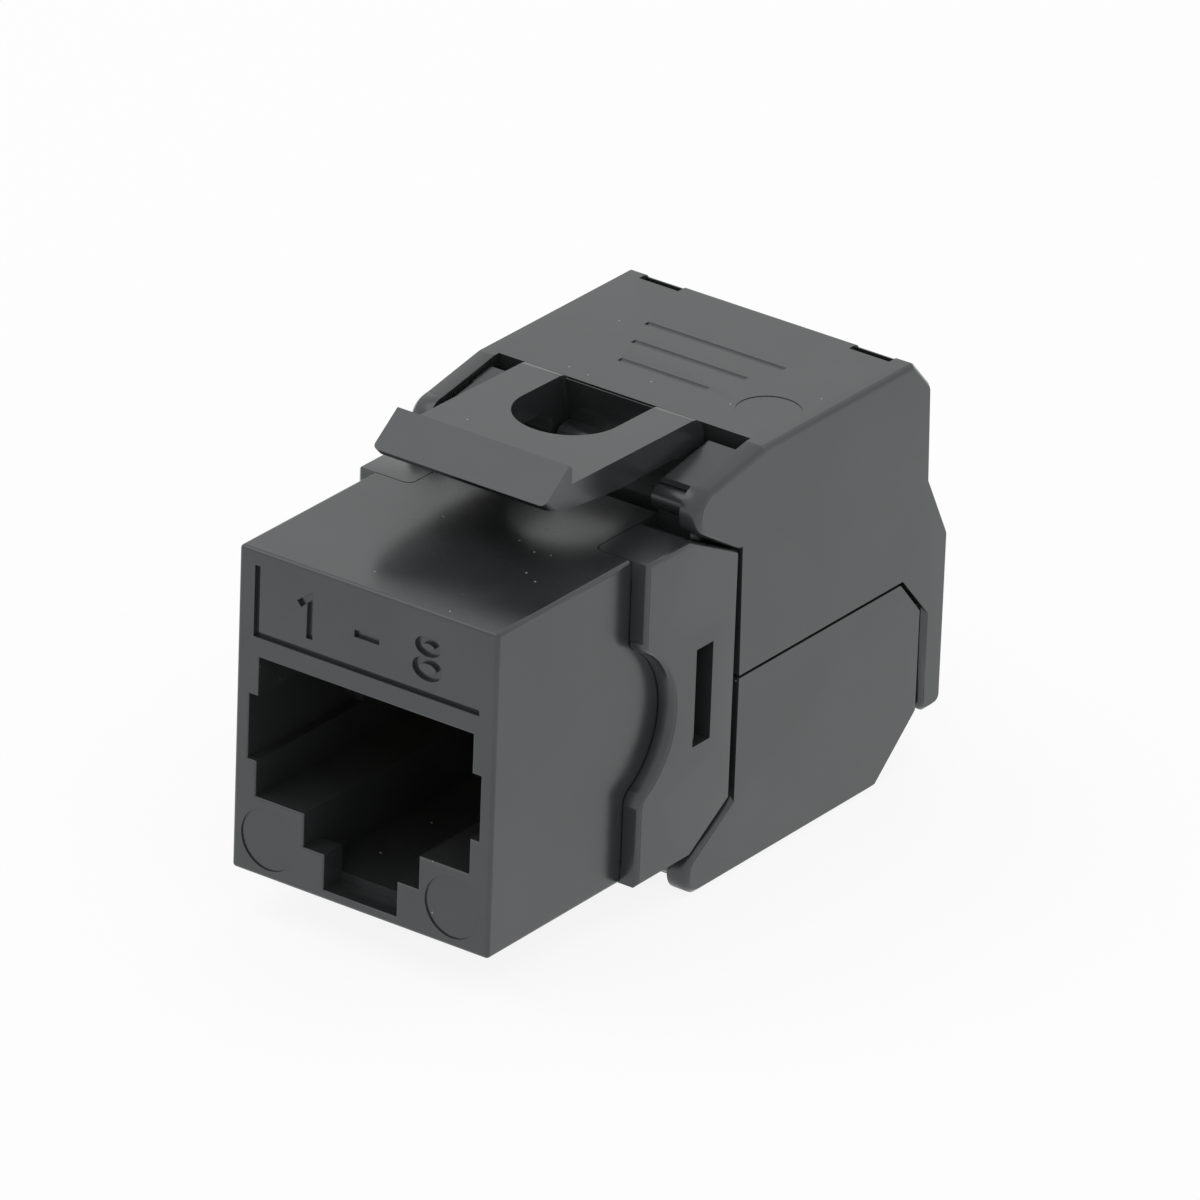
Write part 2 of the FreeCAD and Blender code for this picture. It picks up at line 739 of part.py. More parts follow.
def upper_wing():
    piece = Piece("upper_wing")
    low_edge = s.part_line + s.part_gap / 2
    inner_leg = s.brow_rear + s.leg_gap
    start_along = s.upper_along - s.nose_radius * sine(s.top_slope)
    start_height = s.upper_height - s.nose_radius * cosine(s.top_slope)
    arm_low = start_height - (s.wing_front - start_along) * tangent(s.top_slope)
    side = [
        (s.upper_along, s.upper_height),
        (start_along, start_height),
        (s.wing_front, arm_low),
        (s.wing_front, low_edge),
        (s.part_corner + s.part_gap, low_edge),
        (inner_leg, low_edge - s.part_chamfer),
        (inner_leg, s.leg_bottom),
        (s.leg_rear, s.leg_bottom),
        (s.leg_rear, s.leg_top),
        (s.waist_rear, s.waist_height),
        (s.brow_rear, s.brow_height),
        (s.top_rear, s.wing_top),
        (s.arm_top, s.wing_top),
        (s.upper_along, s.upper_height + s.nose_radius),
    ]
    piece.add("YZ", 0, s.collar_width, side, even=True)
    piece.add("YZ", 0, s.collar_width, (s.upper_along, s.upper_height, s.nose_radius), even=True)
    ends = [(inner_leg, s.leg_bottom), (s.leg_rear, s.leg_bottom)]
    piece.dress("Fillet", s.leg_round, lambda edge: runs_over(edge, ends))
    bends = [(s.brow_rear, s.brow_height), (s.top_rear, s.wing_top), (s.arm_top, s.wing_top)]
    piece.dress("Fillet", s.wing_round, lambda edge: runs_over(edge, bends))

    def outer_edge(edge):
        at = edge.CenterOfMass
        top = at.z > s.upper_height.number - s.nose_radius.number / 2
        back = at.y > s.brow_rear.number - 0.01 and at.z > s.leg_top.number
        leg = at.y > (inner_leg + s.leg_gap).number
        return on_side(edge) and (top or back or leg)

    piece.dress("Chamfer", s.wing_edge, outer_edge)
    # inside, open below and, between the arms, in front
    ceiling = s.wing_top - s.wing_plate
    back = s.brow_rear - s.rear_wall
    inside = [
        (s.upper_along - 2 * s.nose_radius, -OVER),
        (s.upper_along - 2 * s.nose_radius, s.wing_top + OVER),
        (s.plate_front, s.wing_top + OVER),
        (s.plate_front, ceiling),
        (back, ceiling),
        (back, s.waist_height),
        (s.leg_rear - s.rear_wall, s.leg_top),
        (s.leg_rear - s.rear_wall, -OVER),
    ]
    piece.cut("YZ", 0, 2 * half_inside, inside, even=True)
    # cable mouth between the legs, and notches beside the middle of the rear edge
    mouth_long = s.leg_rear - back + 2 * OVER
    legs = rectangle(-s.leg_inner, s.leg_inner, -OVER, s.part_line)
    piece.cut("XZ", back - OVER, mouth_long, legs)
    piece.cut("XZ", back - OVER, mouth_long, (0, s.middle, s.mouth_radius))
    notch = rectangle(s.notch_inner, s.notch_outer, s.notch_floor, s.wing_top + OVER)
    piece.cut("XZ", s.notch_front, s.leg_rear - s.notch_front, *both(notch))
    wing_ribs(piece, s.middle + board_half + s.block_height - s.rib_reach, ceiling + s.wing_plate / 2)
    wing_pins(piece, s.upper_along, s.upper_height)
    # sunk grip lines and the ejector pin mark
    for step in range(3):
        half_line = (s.line_short + step * s.line_growth) / 2
        along = s.line_first + step * s.line_pitch
        line = rectangle(-half_line, half_line, along - s.line_width / 2, along + s.line_width / 2)
        piece.cut("XY", s.wing_top - s.line_depth, s.line_depth + OVER, line)
    disc = (s.disc_across, s.disc_along, s.disc_radius)
    piece.cut("XY", s.wing_top - s.mark_depth, s.mark_depth + OVER, disc)
    finished(piece)


def lower_wing():
    piece = Piece("lower_wing")
    high_edge = s.part_line - s.part_gap / 2
    height = -s.lower_depth
    start_along = s.lower_along - s.low_nose_radius * sine(s.low_slope)
    start_height = height + s.low_nose_radius * cosine(s.low_slope)
    arm_high = start_height + (s.wing_front - start_along) * tangent(s.low_slope)
    side = [
        (s.lower_along, height),
        (start_along, start_height),
        (s.wing_front, arm_high),
        (s.wing_front, high_edge),
        (s.part_corner, high_edge),
        (s.brow_rear, high_edge - s.part_chamfer),
        (s.brow_rear, s.heel_height),
        (s.keel_rear, -s.wing_bottom),
        (s.lower_along, -s.wing_bottom),
    ]
    piece.add("YZ", 0, s.collar_width, side, even=True)
    piece.add("YZ", 0, s.collar_width, (s.lower_along, height, s.low_nose_radius), even=True)
    bends = [(s.brow_rear, s.heel_height), (s.keel_rear, -s.wing_bottom)]
    piece.dress("Fillet", s.wing_round, lambda edge: runs_over(edge, bends))

    def outer_edge(edge):
        at = edge.CenterOfMass
        low = at.z < s.heel_height.number and at.z < start_height.number + 0.5
        back = at.y > s.brow_rear.number - 0.01
        return on_side(edge) and (low or back)

    piece.dress("Chamfer", s.wing_edge, outer_edge)
    floor = -s.wing_bottom + s.wing_plate
    back = s.brow_rear - s.rear_wall
    inside = [
        (s.lower_along - 2 * s.nose_radius, s.part_line + OVER),
        (s.lower_along - 2 * s.nose_radius, -s.wing_bottom - OVER),
        (s.plate_front, -s.wing_bottom - OVER),
        (s.plate_front, floor),
        (s.keel_rear, floor),
        (back, s.heel_height + s.wing_plate / 2),
        (back, s.part_line + OVER),
    ]
    piece.cut("YZ", 0, 2 * half_inside, inside, even=True)
    piece.cut("XZ", back - OVER, s.rear_wall + 2 * OVER, (0, s.middle, s.mouth_radius))
    wing_ribs(piece, floor - s.wing_plate / 2, s.middle - board_half - s.block_height + s.rib_reach)
    wing_pins(piece, s.lower_along, height)
    finished(piece)


def contact_carrier():
    piece = Piece("contact_carrier")
    half = s.carrier_width / 2
    front = s.front_wall + s.fit
    under = s.port_ceiling + s.fit
    piece.add("XZ", front, s.carrier_rear - front, rectangle(-half, half, under, roof_under - s.fit))
    plate = rectangle(-half, half, s.port_floor + s.fit, under + s.fit)
    piece.add("XZ", s.port_depth, s.back_plate, plate)
    # comb that guides the free ends of the contacts
    web = (s.contact_pitch - s.contact_wide) / 2 - s.contact_play
    lanes = [lane - s.contact_pitch / 2 for lane in contact_lanes] + [contact_lanes[-1] + s.contact_pitch / 2]
    comb = [rectangle(lane - web, lane + web, s.comb_low, under + s.fit) for lane in lanes]
    piece.add("XZ", s.comb_front, s.port_depth - s.comb_front + s.fit, *comb)
    groove_top = s.contact_height + s.contact_thick / 2 + s.contact_play
    half_groove = s.contact_wide / 2 + s.contact_play
    grooves = [rectangle(lane - half_groove, lane + half_groove, under - s.fit, groove_top) for lane in contact_lanes]
    piece.cut("XZ", front - OVER, s.carrier_rear - front + 2 * OVER, *grooves)
    finished(piece)


def port_contact(number, lane):
    """Stamped spring strip: up from the board, forward under the carrier, round and back down into the port."""
    piece = Piece(f"port_contact_{number}")
    half = s.contact_thick / 2
    row = tail_row(number)
    under = s.middle - board_half - half
    slant = tangent(s.contact_slope)
    rise = half / cosine(s.contact_slope)
    fall = (s.contact_tip - s.contact_front) * slant
    strip = [
        (row - half, under),
        (row + half, under),
        (row + half, s.contact_height + half),
        (s.contact_front - half, s.contact_height + half),
        (s.contact_front - half, s.contact_low - rise + half * slant),
        (s.contact_tip, s.contact_low - rise - fall),
        (s.contact_tip, s.contact_low + rise - fall),
        (s.contact_front + half, s.contact_low + rise - half * slant),
        (s.contact_front + half, s.contact_height - half),
        (row - half, s.contact_height - half),
    ]
    piece.add("YZ", lane - s.contact_wide / 2, s.contact_wide, strip)
    outer = strip[2:5]
    inner = strip[7:10]
    piece.dress("Fillet", s.contact_bend + s.contact_thick, lambda edge: runs_over(edge, outer))
    piece.dress("Fillet", s.contact_bend, lambda edge: runs_over(edge, inner))
    finished(piece)


def circuit_board():
    piece = Piece("circuit_board")
    half = s.board_width / 2
    under = s.middle - board_half
    piece.add("XY", under, s.board_thick, rectangle(-half, half, s.board_front, s.board_rear))
    holes = [(lane, tail_row(number), s.hole_radius) for number, lane in enumerate(contact_lanes, start=1)]
    half_wide = s.tail_width / 2 + s.blade_play
    half_thick = s.blade_thick / 2 + s.blade_play
    for lane in wire_lanes:
        for foot in (lane - s.tail_shift, lane + s.tail_shift):
            front = s.blade_along - half_thick
            holes.append(rectangle(foot - half_wide, foot + half_wide, front, front + 2 * half_thick))
    piece.cut("XY", under - OVER, s.board_thick + 2 * OVER, *holes)
    finished(piece)


def wire_block(label, way):
    """Slotted block on the board that holds four blades; way is 1 above the board and -1 below it."""

    def level(height):
        return s.middle + way * (board_half + height)

    piece = Piece(label)
    half = s.block_width / 2
    top = level(s.block_height)
    length = s.board_rear - s.collar_rear
    piece.add("XZ", s.collar_rear, length, rectangle(-half, half, level(size(0)), top))
    half_slot = s.wire_slot / 2
    flare = s.wire_slot / 4
    slots = []
    for lane in wire_lanes:
        slots.append(
            [
                (lane - half_slot, level(s.slot_bed)),
                (lane + half_slot, level(s.slot_bed)),
                (lane + half_slot, level(s.block_height - 2 * flare)),
                (lane + half_slot + flare, level(s.block_height + s.fit)),
                (lane - half_slot - flare, level(s.block_height + s.fit)),
                (lane - half_slot, level(s.block_height - 2 * flare)),
            ]
        )
    piece.cut("XZ", s.collar_rear - OVER, length + 2 * OVER, *slots)
    reach = s.blade_width / 2 + s.blade_play
    thick = s.blade_thick / 2 + s.blade_play
    slits = [rectangle(lane - reach, lane + reach, s.blade_along - thick, s.blade_along + thick) for lane in wire_lanes]
    deep = s.block_height + 2 * OVER
    start = level(size(0)) - OVER if way > 0 else level(s.block_height) - OVER
    piece.cut("XY", start, deep, *slits)
    finished(piece)


def blade(label, lane, way):
    """Forked blade that cuts into one wire, with a tail through the board."""

    def level(height):
        return s.middle + way * (board_half + height)

    piece = Piece(label)
    half = s.blade_width / 2
    foot = lane + way * s.tail_shift
    gap = s.blade_gap / 2
    mouth = s.mouth_width / 2
    tail = s.tail_width / 2
    outline = [
        (foot - tail, level(s.fit - s.board_thick)),
        (foot + tail, level(s.fit - s.board_thick)),
        (foot + tail, level(size(0))),
        (lane + half, level(size(0))),
        (lane + half, level(s.blade_height)),
        (lane + mouth, level(s.blade_height)),
        (lane + gap, level(s.blade_height - s.mouth_depth)),
        (lane + gap, level(s.blade_height - s.gap_depth)),
        (lane - gap, level(s.blade_height - s.gap_depth)),
        (lane - gap, level(s.blade_height - s.mouth_depth)),
        (lane - mouth, level(s.blade_height)),
        (lane - half, level(s.blade_height)),
        (lane - half, level(size(0))),
        (foot - tail, level(size(0))),
    ]
    piece.add("XZ", s.blade_along - s.blade_thick / 2, s.blade_thick, outline)
    finished(piece)


def wire_manager():
    """Frame behind the blocks: the cable comes in through its bore and the wires leave by its eight notches."""
    piece = Piece("wire_manager")
    half_wide = s.manager_width / 2
    half_tall = s.manager_height / 2
    front = s.board_rear + s.fit
    low = s.middle - half_tall
    high = s.middle + half_tall
    piece.add("XZ", front, s.manager_length, rectangle(-half_wide, half_wide, low, high))
    piece.dress("Fillet", s.manager_rim, lambda edge: edge.Length > s.manager_length.number * 0.99
                and abs(edge.Vertexes[0].Point.y - edge.Vertexes[1].Point.y) > OVER)
    rim = s.manager_rim
    hollow = rectangle(-half_wide + rim, half_wide - rim, low + rim, high - rim)
    piece.cut("XZ", front, s.manager_hollow, hollow)
    piece.cut("XZ", front, s.manager_length + OVER, (0, s.middle, s.cable_radius))
    half_slot = s.wire_slot / 2
    for start, end in ((low - OVER, low + 2 * rim), (high - 2 * rim, high + OVER)):
        notches = [rectangle(lane - half_slot, lane + half_slot, start, end) for lane in wire_lanes]
        piece.cut("XZ", front, s.manager_hollow, *notches)
    finished(piece)


front_housing()
rear_housing()
latch_lever()
upper_wing()
lower_wing()
contact_carrier()
for number, lane in enumerate(contact_lanes, start=1):
    port_contact(number, lane)
circuit_board()
wire_block("upper_wire_block", 1)
wire_block("lower_wire_block", -1)
for number, lane in enumerate(wire_lanes, start=1):
    blade(f"upper_blade_{number}", lane, 1)
for number, lane in enumerate(wire_lanes, start=1):
    blade(f"lower_blade_{number}", lane, -1)
wire_manager()

# the part's own frame: origin under the middle of the whole jack, on the surface that it lies on
for piece in pieces:
    piece.Placement = FreeCAD.Placement(
        FreeCAD.Vector(0, -s.leg_rear.number / 2, s.wing_bottom.number), FreeCAD.Rotation()
    )
    piece.setExpression("Placement.Base.y", "-sizes.leg_rear / 2")
    piece.setExpression("Placement.Base.z", "sizes.wing_bottom")
doc.recompute()

for thing in doc.Objects:
    if "Invalid" in thing.State or "Error" in thing.State:
        raise RuntimeError(f"{thing.Label} failed: {thing.State}")
os.makedirs("parts", exist_ok=True)
for piece in pieces:
    shape = piece.Shape
    if shape.isNull() or not shape.isValid() or not shape.Solids:
        raise RuntimeError(f"{piece.Label} has no valid shape")
    shape.exportStep(f"parts/{piece.Label}.step")
    print(piece.Label, len(shape.Solids), round(shape.Volume, 2))
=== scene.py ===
import math

import bmesh
import bpy
import numpy as np
from mathutils import Matrix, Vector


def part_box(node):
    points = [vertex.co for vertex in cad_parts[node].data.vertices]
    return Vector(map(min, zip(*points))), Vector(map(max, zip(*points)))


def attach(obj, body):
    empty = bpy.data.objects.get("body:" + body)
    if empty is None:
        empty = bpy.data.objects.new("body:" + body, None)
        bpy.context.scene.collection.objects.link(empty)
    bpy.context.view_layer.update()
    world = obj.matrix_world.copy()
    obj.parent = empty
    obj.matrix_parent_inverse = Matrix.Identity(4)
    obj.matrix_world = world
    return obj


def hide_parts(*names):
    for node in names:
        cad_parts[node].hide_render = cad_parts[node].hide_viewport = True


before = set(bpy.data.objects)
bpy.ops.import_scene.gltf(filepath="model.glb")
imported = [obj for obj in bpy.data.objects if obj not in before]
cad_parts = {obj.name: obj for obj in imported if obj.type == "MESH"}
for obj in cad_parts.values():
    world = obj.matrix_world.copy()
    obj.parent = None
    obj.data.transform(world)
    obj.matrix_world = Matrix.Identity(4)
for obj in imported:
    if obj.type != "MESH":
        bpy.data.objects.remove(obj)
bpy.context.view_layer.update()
print("frame loaded")

mm = 0.001  # lengths in the dictionaries are millimetres


def place(name, data):  # a new object with this data, in the scene
    made = bpy.data.objects.new(name, data)
    bpy.context.scene.collection.objects.link(made)
    return made


def rework(mesh, *changes):  # hands the mesh to each change as a bmesh, and takes it back
    form = bmesh.new()
    form.from_mesh(mesh)
    for change in changes:
        change(form)
    form.to_mesh(mesh)
    form.free()


def turnOutwards(form):
    bmesh.ops.recalc_face_normals(form, faces=form.faces)


# A socket with arithmetic: an expression on values adds its Math nodes.
class Val:
    def __init__(self, tree, socket):
        self.tree, self.socket = tree, socket

    def math(self, operation, *terms):
        return self.tree.node("ShaderNodeMath", {"operation": operation}, dict(enumerate(terms)))

    def __add__(self, other):
        return self.math("ADD", self, other)

    def __radd__(self, other):
        return self.math("ADD", other, self)

    def __sub__(self, other):
        return self.math("SUBTRACT", self, other)

    def __rsub__(self, other):
        return self.math("SUBTRACT", other, self)

    def __mul__(self, other):
        return self.math("MULTIPLY", self, other)

    def __rmul__(self, other):
        return self.math("MULTIPLY", other, self)

    def __lt__(self, other):
        return self.math("LESS_THAN", self, other)


# A node tree. Every node but the Math ones comes from its node method: type, settings first, then sockets.
class Tree:
    def __init__(self, owner):
        owner.use_nodes = True
        self.owner = owner
        self.nodes, self.links = owner.node_tree.nodes, owner.node_tree.links
        self.nodes.clear()

    def node(self, kind, settings=None, sockets=None, out=0):
        made = self.nodes.new(kind)
        for key, value in (settings or {}).items():
            setattr(made, key, value)
        for key, value in (sockets or {}).items():
            if isinstance(value, Val):
                self.links.new(value.socket, made.inputs[key])
            else:
                made.inputs[key].default_value = value
        return Val(self, made.outputs[out]) if made.outputs else made

    def coords(self):
        return self.node("ShaderNodeTexCoord", out="Object")

    def stretched(self, scale):
        return self.node("ShaderNodeMapping", None, {"Vector": self.coords(), "Scale": scale})

    def noise(self, scale, detail=2.0, roughness=0.5, where=None):
        return self.node("ShaderNodeTexNoise", None, {"Vector": where or self.coords(), "Scale": scale,
                                                      "Detail": detail, "Roughness": roughness})

    def rise(self, value, low, high):  # 0 below low, 1 above high, straight between
        return self.node("ShaderNodeMapRange", {"clamp": True},
                         {"Value": value, "From Min": low, "From Max": high})

    def mixColours(self, factor, first, second):
        return self.node("ShaderNodeMix", {"data_type": "RGBA"}, {0: factor, 6: first, 7: second}, 2)

    def bump(self, height, strength, distance, under=None):
        sockets = {"Height": height, "Strength": strength, "Distance": distance}
        return self.node("ShaderNodeBump", None, {**sockets, **({"Normal": under} if under else {})})

    def close(self, surface, outputKind="ShaderNodeOutputMaterial"):
        self.node(outputKind, None, {"Surface": surface})
        return self.owner


def newTree(name):
    return Tree(bpy.data.materials.new(name))


# Camera: where it stands round the object, and how the picture is framed
camera = {"azimuth": 35.398, "elevation": 25.732, "roll": 2.135, "lens": 419.758, "sensor": 36.0,
          "shift": (-10.875, -14.11), "distance": 630.585, "about": (0.0, -17.0, 2.1), "clip": (0.05, 50.0)}


def aimCamera(c):
    azimuth, elevation, roll = (math.radians(c[key]) for key in ("azimuth", "elevation", "roll"))
    level = math.cos(elevation)
    back = np.array([math.sin(azimuth) * level, -math.cos(azimuth) * level, math.sin(elevation)])
    right = np.cross((0, 0, 1), back)
    right /= np.linalg.norm(right)
    up = np.cross(back, right)
    turned = np.array([math.cos(roll) * right + math.sin(roll) * up,
                       math.cos(roll) * up - math.sin(roll) * right, back])
    stand = np.array(c["about"]) - turned.T @ np.array([*c["shift"], -c["distance"]])
    matrix = np.eye(4)
    matrix[:3, :3], matrix[:3, 3] = turned.T, stand * mm
    data = bpy.data.cameras.new("camera")
    data.lens, data.sensor_width = c["lens"], c["sensor"]
    data.clip_start, data.clip_end = c["clip"]
    eye = place("camera", data)
    eye.matrix_world = Matrix(matrix.tolist())
    bpy.context.scene.camera = eye


aimCamera(camera)

# Studio: a pale floor in white surroundings, with one large soft lamp up in front on the left
studio = {"floorSide": 2.0, "floorColour": (0.9, 0.9, 0.9), "seenWhite": 0.88, "glossWhite": 1.0,
          "worldStrength": 0.9, "lampSize": 0.45, "lampPower": 0.42, "lampPlace": (-0.31, -0.18, 0.48)}


# The floor is a grid of two parameters: point = (u, v, 0) for u and v from -half to half.
def buildFloor(s):
    half = s["floorSide"] / 2
    u, v = np.meshgrid(np.linspace(-half, half, 3), np.linspace(-half, half, 3))
    corner = (np.arange(2)[:, None] * 3 + np.arange(2)).ravel()
    mesh = bpy.data.meshes.new("floor")
    mesh.from_pydata(np.stack([u.ravel(), v.ravel(), 0 * u.ravel()], 1), [],
                     np.stack([corner, corner + 1, corner + 4, corner + 3], 1).tolist())
    place("floor", mesh)
    t = newTree("floorPaper")
    paper = t.node("ShaderNodeBsdfDiffuse", None, {"Color": (*s["floorColour"], 1)})
    white = t.node("ShaderNodeEmission", None, {"Strength": 1.0})
    seen = t.node("ShaderNodeLightPath", out="Is Camera Ray")
    glossy = t.node("ShaderNodeLightPath", out="Is Glossy Ray")
    share = seen * s["seenWhite"] + glossy * s["glossWhite"]
    mesh.materials.append(t.close(t.node("ShaderNodeMixShader", None, {0: share, 1: paper, 2: white})))


def buildLight(s):
    world = bpy.data.worlds.new("surroundings")
    bpy.context.scene.world = world
    t = Tree(world)
    seen = t.node("ShaderNodeLightPath", out="Is Camera Ray")
    strength = t.node("ShaderNodeMapRange", None,
                      {"Value": seen, "To Min": s["worldStrength"], "To Max": 1.0})
    t.close(t.node("ShaderNodeBackground", None, {"Color": (1, 1, 1, 1), "Strength": strength}),
            "ShaderNodeOutputWorld")
    data = bpy.data.lights.new("lamp", "AREA")
    data.shape, data.size, data.energy = "DISK", s["lampSize"], s["lampPower"]
    lamp = place("lamp", data)
    x, y, z = s["lampPlace"]
    lamp.location = (x, y, z)
    lamp.rotation_euler = (math.atan2(math.hypot(x, y), z), 0, math.atan2(x, -y))  # aimed at the origin


buildFloor(studio)
buildLight(studio)
bpy.context.scene.view_settings.view_transform = "Standard"
print("studio built")

# Moulded plastic: near black and satin, with spark-eroded grain, faint flow marks and dust.
# Dust lies in dustShare of its cells, and in dustOnTop more of them where the surface faces up past dustTilt.
blackPlastic = {"colour": (0.0255, 0.027, 0.0278), "flow": 0.15, "flowEnds": (0.3, 0.7),
                "roughness": 0.235, "ior": 1.65, "tint": (0.95, 0.985, 1.0),
                "grain": 7000.0, "grainDepth": 0.003, "grainBump": 0.3,
                "wave": 260.0, "waveDepth": 0.0008, "waveBump": 0.4, "uneven": 0.10,
                "dustCell": 1000.0, "dustSize": 0.05, "dustShare": 0.05, "dustOnTop": 0.38, "dustTilt": 0.9,
                "dustColour": (0.30, 0.31, 0.31), "dustRoughness": 0.4}
palePlastic = {**blackPlastic, "colour": (0.055, 0.057, 0.06), "roughness": 0.34, "ior": 1.5}


def mouldedPlastic(name, p):
    t = newTree(name)
    grain = t.noise(p["grain"], 3.0, 0.55)
    flow = t.noise(p["wave"], 3.0, 0.5)
    # dust: the few cells that are drawn at random keep a speck at their middle
    far, drawn = (t.node("ShaderNodeTexVoronoi", {"feature": "F1"},
                         {"Vector": t.coords(), "Scale": p["dustCell"], "Randomness": 1.0}, out)
                  for out in ("Distance", "Color"))
    chance = t.node("ShaderNodeSeparateColor", None, {"Color": drawn}, "Red")
    facing = t.node("ShaderNodeTexCoord", out="Normal")
    upward = t.node("ShaderNodeSeparateXYZ", None, {"Vector": facing}, "Z")
    share = p["dustShare"] + p["dustOnTop"] * (1 - (upward < p["dustTilt"]))
    speck = (far < p["dustSize"]) * (chance < share)
    plain = t.mixColours(t.rise(flow, *p["flowEnds"]), (*(c * (1 - p["flow"]) for c in p["colour"]), 1),
                         (*(c * (1 + p["flow"]) for c in p["colour"]), 1))
    colour = t.mixColours(speck, plain, (*p["dustColour"], 1))
    rough = p["roughness"] + (flow - 0.5) * p["uneven"] + (grain - 0.5) * p["uneven"]
    rough = rough + speck * p["dustRoughness"]
    waves = t.bump(flow, p["waveBump"], p["waveDepth"] * mm)
    normal = t.bump(grain, p["grainBump"], p["grainDepth"] * mm, waves)
    return t.close(t.node("ShaderNodeBsdfPrincipled", None, {
        "Base Color": colour, "Roughness": rough, "Normal": normal, "IOR": p["ior"],
        "Specular Tint": (*p["tint"], 1)}))


# Plated metal: gold on the port contacts, tin on the blades, with drawn lines along the strip
goldPlate = {"colour": (0.93, 0.66, 0.28), "dull": (0.78, 0.50, 0.19), "roughness": 0.22,
             "lines": (9000.0, 400.0, 400.0), "lineDepth": 0.002, "lineBump": 0.3, "lineShine": 0.18,
             "cloud": 900.0, "cloudEnds": (0.35, 0.75), "cloudShine": 0.12}
tinPlate = {**goldPlate, "colour": (0.72, 0.72, 0.70), "dull": (0.52, 0.52, 0.50), "roughness": 0.32,
            "lines": (9000.0, 9000.0, 500.0)}


def platedMetal(name, p):
    t = newTree(name)
    lines = t.noise(1.0, 3.0, 0.6, t.stretched(p["lines"]))
    cloud = t.noise(p["cloud"], 3.0)
    colour = t.mixColours(t.rise(cloud, *p["cloudEnds"]), (*p["colour"], 1), (*p["dull"], 1))
    rough = p["roughness"] + (lines - 0.5) * p["lineShine"] + (cloud - 0.5) * p["cloudShine"]
    return t.close(t.node("ShaderNodeBsdfPrincipled", None, {
        "Base Color": colour, "Metallic": 1.0, "Roughness": rough,
        "Normal": t.bump(lines, p["lineBump"], p["lineDepth"] * mm)}))


# Circuit board: green solder mask over copper lines and woven glass
greenBoard = {"mask": (0.010, 0.105, 0.040), "trace": (0.022, 0.190, 0.070), "roughness": 0.28,
              "weave": 2600.0 / 6, "weaveHeight": 0.3, "track": 1000.0 / 6, "trackWander": 1.5,
              "trackEnds": (0.45, 0.55), "copperHeight": 0.8, "relief": 0.006, "reliefBump": 0.5,
              "cloud": 1500.0, "cloudShine": 0.12}


def solderMask(name, p):
    t = newTree(name)
    wave = {"wave_type": "BANDS", "wave_profile": "SIN"}
    warp, weft = (t.node("ShaderNodeTexWave", {**wave, "bands_direction": along},
                         {"Vector": t.coords(), "Scale": p["weave"]}) for along in "XY")
    track = t.node("ShaderNodeTexWave", {**wave, "bands_direction": "X"},
                   {"Vector": t.coords(), "Scale": p["track"], "Distortion": p["trackWander"],
                    "Detail": 1.0, "Detail Scale": 0.4})
    copper = t.rise(track, *p["trackEnds"])
    colour = t.mixColours(copper, (*p["mask"], 1), (*p["trace"], 1))
    height = copper * p["copperHeight"] + warp * weft * p["weaveHeight"]
    rough = p["roughness"] + (t.noise(p["cloud"]) - 0.5) * p["cloudShine"]
    return t.close(t.node("ShaderNodeBsdfPrincipled", None, {
        "Base Color": colour, "Roughness": rough,
        "Normal": t.bump(height, p["reliefBump"], p["relief"] * mm)}))


finishes = {
    "plastic": mouldedPlastic("blackPlastic", blackPlastic),
    "pale": mouldedPlastic("palePlastic", palePlastic),
    "gold": platedMetal("goldPlate", goldPlate),
    "tin": platedMetal("tinPlate", tinPlate),
    "board": solderMask("greenBoard", greenBoard),
}
print("finishes made")

over = 1.0  # how far a cutter starts before the face that it cuts


# A stroke of a glyph: a flat rectangle (width across, depth into the wall) carried along a path of X and Z
# points. Point(i, j) = path(i) + side(i) * corner(j), where side is the unit normal of the path, stretched in
# the bends.
def strokeCutter(name, path, width, front, back, closed):
    points = np.asarray(path, float)
    ahead = np.roll(points, -1, 0) - points
    behind = points - np.roll(points, 1, 0)
    if not closed:
        ahead[-1], behind[0] = behind[-1], ahead[0]
    ahead /= np.linalg.norm(ahead, axis=1)[:, None]
    behind /= np.linalg.norm(behind, axis=1)[:, None]
    side = np.stack([-(ahead + behind)[:, 1], (ahead + behind)[:, 0]], 1)
    side /= np.linalg.norm(side, axis=1)[:, None]
    stretch = 1 / np.maximum((side * np.stack([-ahead[:, 1], ahead[:, 0]], 1)).sum(1), 0.5)
    reach = side * (stretch * width / 2)[:, None]
    rings = np.stack([points + reach, points - reach, points - reach, points + reach], 1)
    depth = np.broadcast_to(np.array([front, front, back, back]), rings.shape[:2])
    grid = np.stack([rings[..., 0], depth, rings[..., 1]], 2) * mm
    count = len(points)
    i, j = np.meshgrid(np.arange(count if closed else count - 1), np.arange(4), indexing="ij")
    here, after, across = i * 4, (i + 1) % count * 4, (j + 1) % 4
    quad = np.stack([here + j, here + across, after + across, after + j], 2)
    faces = quad.reshape(-1, 4).tolist()
    if not closed:
        faces += [[3, 2, 1, 0], [4 * count - 4, 4 * count - 3, 4 * count - 2, 4 * count - 1]]
    mesh = bpy.data.meshes.new(name)
    mesh.from_pydata(grid.reshape(-1, 3), [], faces)
    rework(mesh, turnOutwards)
    return bpy.data.objects.new(name, mesh)


# Numbers sunk in the label field: the first and the last contact, with a dash between them
numbers = {"height": 2.2, "under": 2.38, "stroke": 0.36, "depth": 0.2, "one": -3.2, "eight": 3.4,
           "dashHalf": 0.7, "flag": 0.62, "loops": ((0.54, 0.50), (0.66, 0.60)), "loopPoints": 40}


